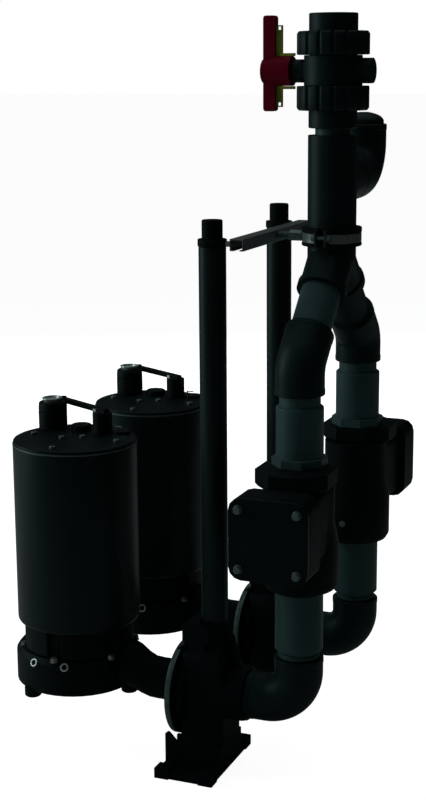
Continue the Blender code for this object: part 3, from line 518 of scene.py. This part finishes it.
def foot_and_rail(train, here):
    """Duck foot with a rib behind its rail spigot, the guide rail tube and its rubber bung."""
    dress(f"{train}_foot", "cast_iron", 0.0014)
    rib = skin([[(x, y, z) for x, z in RIB_OUTLINE] for y in (-RIB_HALF_THICKNESS, RIB_HALF_THICKNESS)])
    piece(f"{train}_foot_rib", "cast_iron", moved(rib, here), bevel=0.0020, segments=3)
    bore, low, high, edge = RAIL_R - 0.0026, RAIL_Z[0], RAIL_Z[1], 0.0004
    rail = turned([(RAIL_R - edge, low), (RAIL_R, low + edge), (RAIL_R, high - edge), (RAIL_R - edge, high),
                   (bore + 0.0002, high), (bore, high - edge), (bore, low + edge), (bore + 0.0002, low)],
                  72, closed=True)
    piece(f"{train}_rail_tube", "rail_steel", moved(rail, here), replaces=[f"{train}_guide_rail"])
    bung = turned([(0.0184, 0.8250), (0.0184, 0.8503), (0.0218, 0.8503), (0.0226, 0.8511),
                   (0.0226, 0.8604), (0.0218, 0.8614), (0.0162, 0.8616), (0.0162, 0.8890),
                   (0.0152, 0.8905), (0.0100, 0.8905), (0.0096, 0.8880)], SMALL_ROUND)
    piece(f"{train}_rail_bung", "rubber", moved(bung, here), replaces=[f"{train}_rail_plug"])


def bottom_elbow(train, here):
    """Elbow from the foot's outlet up into the riser."""
    turn_x, low_z, high_z = 0.0908, 0.130, 0.182
    path = [(0.0606, 0.0, low_z)]
    path += arc((turn_x, 0.0, high_z), (turn_x, 0.0, low_z), (1.0, 0.0, 0.0), 90.0, 24)
    path += [(RISER_X, 0.0, 0.207)]
    piece(f"{train}_elbow_skin", "grey_plastic", moved(lipped(path, (0, 1, 0), ELBOW_R), here),
          replaces=[f"{train}_bottom_elbow"])


def lower_adapter(train, riser):
    """Adapter with a grooved spigot between the elbow and the check valve."""
    adapter = turned([(0.0305, 0.2073), (0.0322, 0.2082), (0.0326, 0.2100), (0.0326, 0.2132),
                      (0.0315, 0.2146), (0.0308, 0.2152), (0.0308, 0.2160), (0.0318, 0.2168),
                      (0.0368, 0.2200), (FITTING_R, 0.2214), (FITTING_R, 0.3156),
                      (FITTING_R - 0.0010, 0.3167)])
    piece(f"{train}_adapter_skin", "light_plastic", moved(adapter, riser),
          replaces=[f"{train}_lower_adapter"])


def check_valve(train, y0, out):
    """Check valve with the four bolts of its inspection cover, and the rear one's drain plug."""
    dress(f"{train}_check_valve", "cast_iron", 0.0020)
    dress(f"{train}_check_valve_cover", "cover_iron", 0.0020)
    dress(f"{train}_upper_adapter", "light_plastic", 0.0010)
    for i, (dx, dz) in enumerate(((-1, 1), (1, 1), (-1, -1), (1, -1))):
        place = at(RISER_X + VALVE_BOLT_OFFSET * dx, y0 + out * VALVE_COVER_REACH,
                   VALVE_COVER_MIDDLE_Z + VALVE_BOLT_OFFSET * dz)
        bolt = moved(hex_bolt(0.0108, 0.0058, 0.0070, 0.3 * i), towards((0.0, out, 0.0)), place)
        piece(f"{train}_cover_bolt_{i}", "dull_steel", bolt)
    if train == "rear":
        a, hub_r, hub_y = math.radians(-93.0), 0.0585, y0 - out * 0.007
        place = at(RISER_X + hub_r * math.cos(a), hub_y + hub_r * math.sin(a), 0.3577)
        drain = moved(hex_bolt(0.0100, 0.0060), towards((math.cos(a), math.sin(a), 0.0)), place)
        piece("rear_drain_plug", "dull_steel", drain)


def bend_and_leg(train, riser, out, leg_finish):
    """Bend of 45 degrees towards the middle, and the inclined pipe above it."""
    slope = Vector((0.0, -out, 1.0)).normalized()
    knee = Vector((0.0, 0.0, KNEE_Z))
    lower = knee - Vector((0.0, 0.0, BEND_R * math.tan(math.radians(22.5))))
    path = [(0.0, 0.0, 0.6293)]
    path += arc(lower + Vector((0.0, -out * BEND_R, 0.0)), lower, (0.0, 0.0, 1.0), 45.0, 14)
    path += [knee + slope * 0.0630]
    piece(f"{train}_bend_skin", "grey_plastic", moved(lipped(path, (1, 0, 0), 0.0385), riser),
          replaces=[f"{train}_upper_bend"])
    path = [knee + slope * along for along in (0.0633, 0.0700, 0.1300, 0.1385)]
    leg = swept(path, (1, 0, 0), [PIPE_R] * len(path))
    piece(f"{train}_leg_pipe", leg_finish, moved(leg, riser), replaces=[f"{train}_inclined_pipe"])


# The rear leg takes the darker copy of the pale plastic: painted shade where that pipe lies in shadow.
LEG_FINISH = {"front": "light_plastic", "rear": "shade_painted_plastic"}
for train, y0, out in TRAINS:
    pump(train, y0)
    foot_and_rail(train, at(0.0, y0, 0.0))
    bottom_elbow(train, at(0.0, y0, 0.0))
    lower_adapter(train, at(RISER_X, y0, 0.0))
    check_valve(train, y0, out)
    bend_and_leg(train, at(RISER_X, y0, 0.0), out, LEG_FINISH[train])


# Common pipework
CENTRE = at(RISER_X, MIDDLE_Y, 0.0)


def flushing_elbow():
    """Elbow on the tee's side branch, with its domed plug."""
    turn_y, axis_z, high_z = 0.1115, 0.943, 0.996
    end_y = turn_y + high_z - axis_z
    path = [(0.0, 0.0733, axis_z)]
    path += arc((0.0, turn_y, high_z), (0.0, turn_y, axis_z), (0.0, 1.0, 0.0), 90.0, 24)
    path += [(0.0, end_y, 1.0245)]
    piece("flush_elbow_skin", "grey_plastic", moved(lipped(path, (1, 0, 0), 0.0387), CENTRE),
          replaces=["flush_elbow"])
    plug = turned([(0.0337, 1.0248), (0.0337, 1.0300), (0.0325, 1.0325), (0.0293, 1.0362),
                   (0.0250, 1.0388), (0.0202, 1.0408), (0.0140, 1.0426), (0.0084, 1.0437)])
    piece("flush_cap", "grey_plastic", moved(plug, at(0.0, end_y, 0.0), CENTRE), replaces=["flush_plug"])


def clamp_halves():
    """Two half rings: a rubber lining with raised edges, a steel band in it, and dark ears."""
    low, high = CLAMP_Z
    inner, outer, bed = 0.0387, 0.0475, 0.0440
    lining = [(inner, low), (outer - 0.0007, low), (outer, low + 0.0008), (outer, low + 0.0044),
              (outer - 0.0009, low + 0.0052), (bed, low + 0.0054), (bed, high - 0.0084),
              (outer - 0.0009, high - 0.0082), (outer, high - 0.0074), (outer, high - 0.0008),
              (outer - 0.0007, high), (inner, high)]
    band = [(0.0441, 0.8468), (0.0462, 0.8468), (0.0470, 0.8478), (0.0470, 0.8608), (0.0462, 0.8618),
            (0.0441, 0.8618)]
    for name, side, first, last in (("rail_side", -1.0, 99.0, 261.0), ("far_side", 1.0, -81.0, 81.0)):
        piece(f"clamp_lining_{name}", "rubber", moved(sector(lining, first, last), CENTRE),
              replaces=[f"clamp_half_{name}"])
        piece(f"clamp_band_{name}", "clamp_steel", moved(sector(band, first, last), CENTRE))
        across = sorted((side * 0.0062, side * 0.0098))
        ears = [block(across, reach, (0.8436, 0.8700)) for reach in ((-0.0600, -0.0410), (0.0410, 0.0600))]
        piece(f"clamp_ears_{name}", "ear_steel", moved(joined(*ears), CENTRE), bevel=0.0009)


def clamp_fasteners():
    """Bolts through the ears, and the threaded rod with its long nut towards the strut."""
    seat = 0.0098
    for i, y in enumerate((-0.0535, 0.0535)):
        shank = moved(turned([(0.0030, -0.0150), (0.0030, 0.0140)], BOLT_STEPS), ALONG_X)
        head = moved(hex_bolt(0.0100, 0.0050, 0.0065, 0.4), ALONG_X, at(seat, 0.0, 0.0))
        nut = moved(hex_bolt(0.0100, 0.0046, 0.0065, 0.1), ALONG_X, Matrix.Rotation(math.pi, 4, "Z"),
                    at(-seat, 0.0, 0.0))
        piece(f"clamp_bolt_{i}", "dull_steel",
              moved(joined(shank, head, nut), at(0.0, y, 0.8568), CENTRE))
    pitch, turns, first_x = 0.0012, 16, 0.0543
    thread = []
    for i in range(turns):
        x = first_x + pitch * i
        thread += [(0.0060, x), (0.0065, x + 0.0004), (0.0065, x + 0.0006), (0.0060, x + 0.0010)]
    rod = moved(turned(thread, TINY_ROUND), ALONG_X)
    long_nut = moved(hex_bolt(0.0150, 0.0214, 0.0, math.radians(30.0)), ALONG_X, at(0.0733, 0.0, 0.0))
    piece("clamp_threaded_rod", "dull_steel",
          moved(joined(rod, long_nut), at(0.0, MIDDLE_Y, STRUT_AXIS_Z)), replaces=["clamp_rod"])


dress("y_fitting", "grey_plastic", 0.0012)
dress("tee", "grey_plastic", 0.0012)
dress("strut_channel", "zinc_steel", 0.0006)
flushing_elbow()
clamp_halves()
clamp_fasteners()

# Ball valve
NUT_RIBS = 16
RIB_STEPS = 12
NUT_PHASE = math.radians(-73.0)
RIB_DEPTH = 0.0032
GROOVED_FROM_R = 0.0535


def ribbed_nut(low, high, flip):
    """Union nut with broad grip ribs and a chamfered edge."""
    profile = [(0.0382, low), (0.0530, low), (0.0543, low + 0.0010), (0.0565, low + 0.0042),
               (0.0565, high - 0.0016), (0.0555, high - 0.0003), (0.0382, high - 0.0003)]
    if flip:
        profile = [(r, low + high - z) for r, z in reversed(profile)]
    count = NUT_RIBS * RIB_STEPS
    rings = []
    for r, z in profile:
        ring = []
        for i in range(count):
            a = NUT_PHASE + 2.0 * math.pi * i / count
            from_groove = min(i % RIB_STEPS, RIB_STEPS - i % RIB_STEPS)
            groove = math.exp(-(from_groove / 1.15) ** 2)
            reach = r - RIB_DEPTH * groove if r > GROOVED_FROM_R else r
            ring.append((reach * math.cos(a), reach * math.sin(a), z))
        rings.append(ring)
    return skin(rings, closed=True)


def ball_valve():
    """Valve body between two union nuts, with its socket ends and the nipple below."""
    piece("valve_lower_union_nut", "grey_plastic", moved(ribbed_nut(1.0510, 1.0885, False), CENTRE),
          replaces=["valve_lower_nut"], angle=40.0)
    piece("valve_upper_union_nut", "grey_plastic", moved(ribbed_nut(1.1350, 1.1710, True), CENTRE),
          replaces=["valve_upper_nut"], angle=40.0)
    nipple = turned([(0.0274, 1.0133), (0.0274, 1.0237)])
    piece("valve_nipple_skin", "light_plastic", moved(nipple, CENTRE), replaces=["valve_nipple"])
    end = turned([(FITTING_R - 0.0012, 1.0238), (FITTING_R, 1.0250), (FITTING_R, 1.0882)])
    piece("valve_lower_end_skin", "grey_plastic", moved(end, CENTRE), replaces=["valve_lower_end"])
    top = turned([(FITTING_R, 1.1350), (FITTING_R, 1.1968), (FITTING_R - 0.0012, 1.1980),
                  (PIPE_R + 0.0013, 1.1980), (PIPE_R, 1.1966), (PIPE_R, 1.1600)])
    piece("valve_upper_end_skin", "grey_plastic", moved(top, CENTRE), replaces=["valve_upper_end"])
    dress("valve_body", "grey_plastic", 0.0010)


def lever_insert():
    """Insert behind the lever: two strips, cross bars, a thin web and two arms along the hub."""
    near, far, low, high = -0.0926, -0.0830, 1.0556, 1.1810
    strip, bar, eye = 0.0020, 0.0020, 0.0050
    width, web, arm = (-0.0030, 0.0030), (-0.0014, 0.0014), (-0.0050, 0.0050)
    between = (near + strip, far - strip)
    parts = [block((near, near + strip), width, (low, high)), block((far - strip, far), width, (low, high)),
             block(between, web, (low + bar + eye, high - bar - eye))]
    for z in (low, low + bar + eye, 1.0860, 1.1350, high - 2.0 * bar - eye, high - bar):
        parts.append(block(between, width, (z, z + bar)))
    for z in ((1.0832, 1.0878), (1.1338, 1.1384)):
        parts.append(block((far - strip, -0.0632), arm, z))
    piece("insert_frame", "yellow_plastic", moved(joined(*parts), CENTRE), "lever", ["handle_insert"],
          bevel=0.0004)


def lever_medallion():
    """Round boss with a scalloped edge on the face of the lever's hub."""
    scallops, steps, depth = 16, 10, 0.0007
    count = scallops * steps
    rings = []
    for radius, x, is_edge in ((0.0166, -0.1120, False), (0.0186, -0.1126, True), (0.0188, -0.1136, True),
                               (0.0180, -0.1144, True), (0.0161, -0.1145, False),
                               (0.0136, -0.1139, False), (0.0116, -0.1139, False)):
        ring = []
        for i in range(count):
            a = 2.0 * math.pi * i / count
            reach = radius + (depth * abs(math.sin(a * scallops / 2.0)) if is_edge else 0.0)
            ring.append((x, reach * math.cos(a), reach * math.sin(a)))
        rings.append(ring)
    piece("handle_medallion", "red_plastic", moved(skin(rings), at(0.0, 0.0, VALVE_AXIS_Z), CENTRE), "lever")


ball_valve()
dress("valve_handle", "red_plastic", 0.0016)
lever_insert()
lever_medallion()

# Stage and lights
FLOOR_GLOW = 0.95
FLOOR_BOUNCE = 0.55
FLOOR_HALF = 60.0
FLOOR_DROP = 0.0002
AIM = (-0.05, 0.15, 0.55)
COOL = (0.90, 1.0, 1.0)


def stage_floor():
    """Pale floor that shows white to the camera and throws a little of the softboxes' light back."""
    s = FLOOR_HALF
    mesh = bpy.data.meshes.new("studio_floor")
    mesh.from_pydata([(-s, -s, 0.0), (s, -s, 0.0), (s, s, 0.0), (-s, s, 0.0)], [], [(0, 1, 2, 3)])
    floor = bpy.data.objects.new("studio_floor", mesh)
    bpy.context.scene.collection.objects.link(floor)
    material = bpy.data.materials.new("pale_floor")
    material.use_nodes = True
    tree = material.node_tree
    link = tree.links.new
    tree.nodes.remove(tree.nodes["Principled BSDF"])
    paint = node_of(tree, "ShaderNodeBsdfDiffuse", Color=(FLOOR_BOUNCE, FLOOR_BOUNCE, FLOOR_BOUNCE, 1.0))
    glow = node_of(tree, "ShaderNodeEmission", Strength=FLOOR_GLOW)
    both = tree.nodes.new("ShaderNodeAddShader")
    ray = tree.nodes.new("ShaderNodeLightPath")
    mix = tree.nodes.new("ShaderNodeMixShader")
    link(paint.outputs["BSDF"], both.inputs[0])
    link(glow.outputs["Emission"], both.inputs[1])
    link(ray.outputs["Is Camera Ray"], mix.inputs["Fac"])
    link(paint.outputs["BSDF"], mix.inputs[1])
    link(both.outputs["Shader"], mix.inputs[2])
    link(mix.outputs["Shader"], tree.nodes["Material Output"].inputs["Surface"])
    mesh.materials.append(material)
    floor.location.z = -FLOOR_DROP


def stage_world():
    """White backdrop for the camera; the object sees a dim room, a little brighter on its left."""
    world = bpy.data.worlds.new("studio")
    bpy.context.scene.world = world
    world.use_nodes = True
    tree = world.node_tree
    link = tree.links.new
    sky = tree.nodes["Background"]
    sky.inputs["Color"].default_value = (0.93, 0.97, 1.0, 1.0)
    side = tree.nodes.new("ShaderNodeTexCoord")
    across = tree.nodes.new("ShaderNodeVectorMath")
    across.operation = "DOT_PRODUCT"
    across.inputs[1].default_value = (-0.92, -0.20, 0.33)
    shade = node_of(tree, "ShaderNodeMapRange", From_Min=-0.3, From_Max=1.0, To_Min=0.004, To_Max=0.07)
    link(side.outputs["Generated"], across.inputs[0])
    link(across.outputs["Value"], shade.inputs["Value"])
    link(shade.outputs["Result"], sky.inputs["Strength"])
    seen = node_of(tree, "ShaderNodeBackground", Color=(1.0, 1.0, 1.0, 1.0), Strength=FLOOR_GLOW + 0.05)
    ray = tree.nodes.new("ShaderNodeLightPath")
    mix = tree.nodes.new("ShaderNodeMixShader")
    link(ray.outputs["Is Camera Ray"], mix.inputs["Fac"])
    link(sky.outputs["Background"], mix.inputs[1])
    link(seen.outputs["Background"], mix.inputs[2])
    link(mix.outputs["Shader"], tree.nodes["World Output"].inputs["Surface"])


def softbox(name, place, size, power, glossy=True):
    """Area light aimed at the object; one that isn't glossy leaves no reflection."""
    light = bpy.data.lights.new(name, "AREA")
    light.shape = "RECTANGLE"
    light.size, light.size_y = size
    light.energy = power
    light.color = COOL
    item = bpy.data.objects.new(name, light)
    item.location = place
    item.rotation_euler = (Vector(AIM) - Vector(place)).to_track_quat("-Z", "Y").to_euler()
    item.visible_glossy = glossy
    bpy.context.scene.collection.objects.link(item)


stage_floor()
stage_world()
softbox("left_softbox", (-2.3, -0.55, 1.3), (1.2, 2.2), 17.0)
softbox("top_softbox", (0.0, 0.4, 3.0), (3.0, 3.0), 10.0)
softbox("front_softbox", (-0.6, -3.2, 2.2), (1.6, 1.6), 0.9)
softbox("back_fill", (-1.35, 3.35, 1.70), (1.6, 1.6), 40.0, glossy=False)

# Camera, solved on the photograph
YAW, PITCH, ROLL = math.radians(22.373), math.radians(12.005), math.radians(-0.4285)
CAMERA_AT = (0.8905, -2.1637, 1.1159)
PHOTO_HEIGHT = 800.0
FOCAL_PIXELS = 1533.48
SHIFT_PIXELS = (-0.3, -5.5)
SENSOR_HEIGHT = 36.0


def camera():
    """Camera at the photograph's place, angle and framing."""
    forward = Vector((-math.sin(YAW) * math.cos(PITCH), math.cos(YAW) * math.cos(PITCH), -math.sin(PITCH)))
    level = Vector((math.cos(YAW), math.sin(YAW), 0.0))
    steep = level.cross(forward)
    right = level * math.cos(ROLL) + steep * math.sin(ROLL)
    upward = steep * math.cos(ROLL) - level * math.sin(ROLL)
    lens = bpy.data.cameras.new("camera")
    lens.sensor_fit = "VERTICAL"
    lens.sensor_height = SENSOR_HEIGHT
    lens.lens = FOCAL_PIXELS * SENSOR_HEIGHT / PHOTO_HEIGHT
    lens.shift_x, lens.shift_y = (pixels / PHOTO_HEIGHT for pixels in SHIFT_PIXELS)
    item = bpy.data.objects.new("camera", lens)
    item.matrix_world = Matrix((right, upward, -forward)).transposed().to_4x4()
    item.location = CAMERA_AT
    bpy.context.scene.collection.objects.link(item)
    bpy.context.scene.camera = item


camera()
bpy.context.scene.view_settings.view_transform = "Standard"
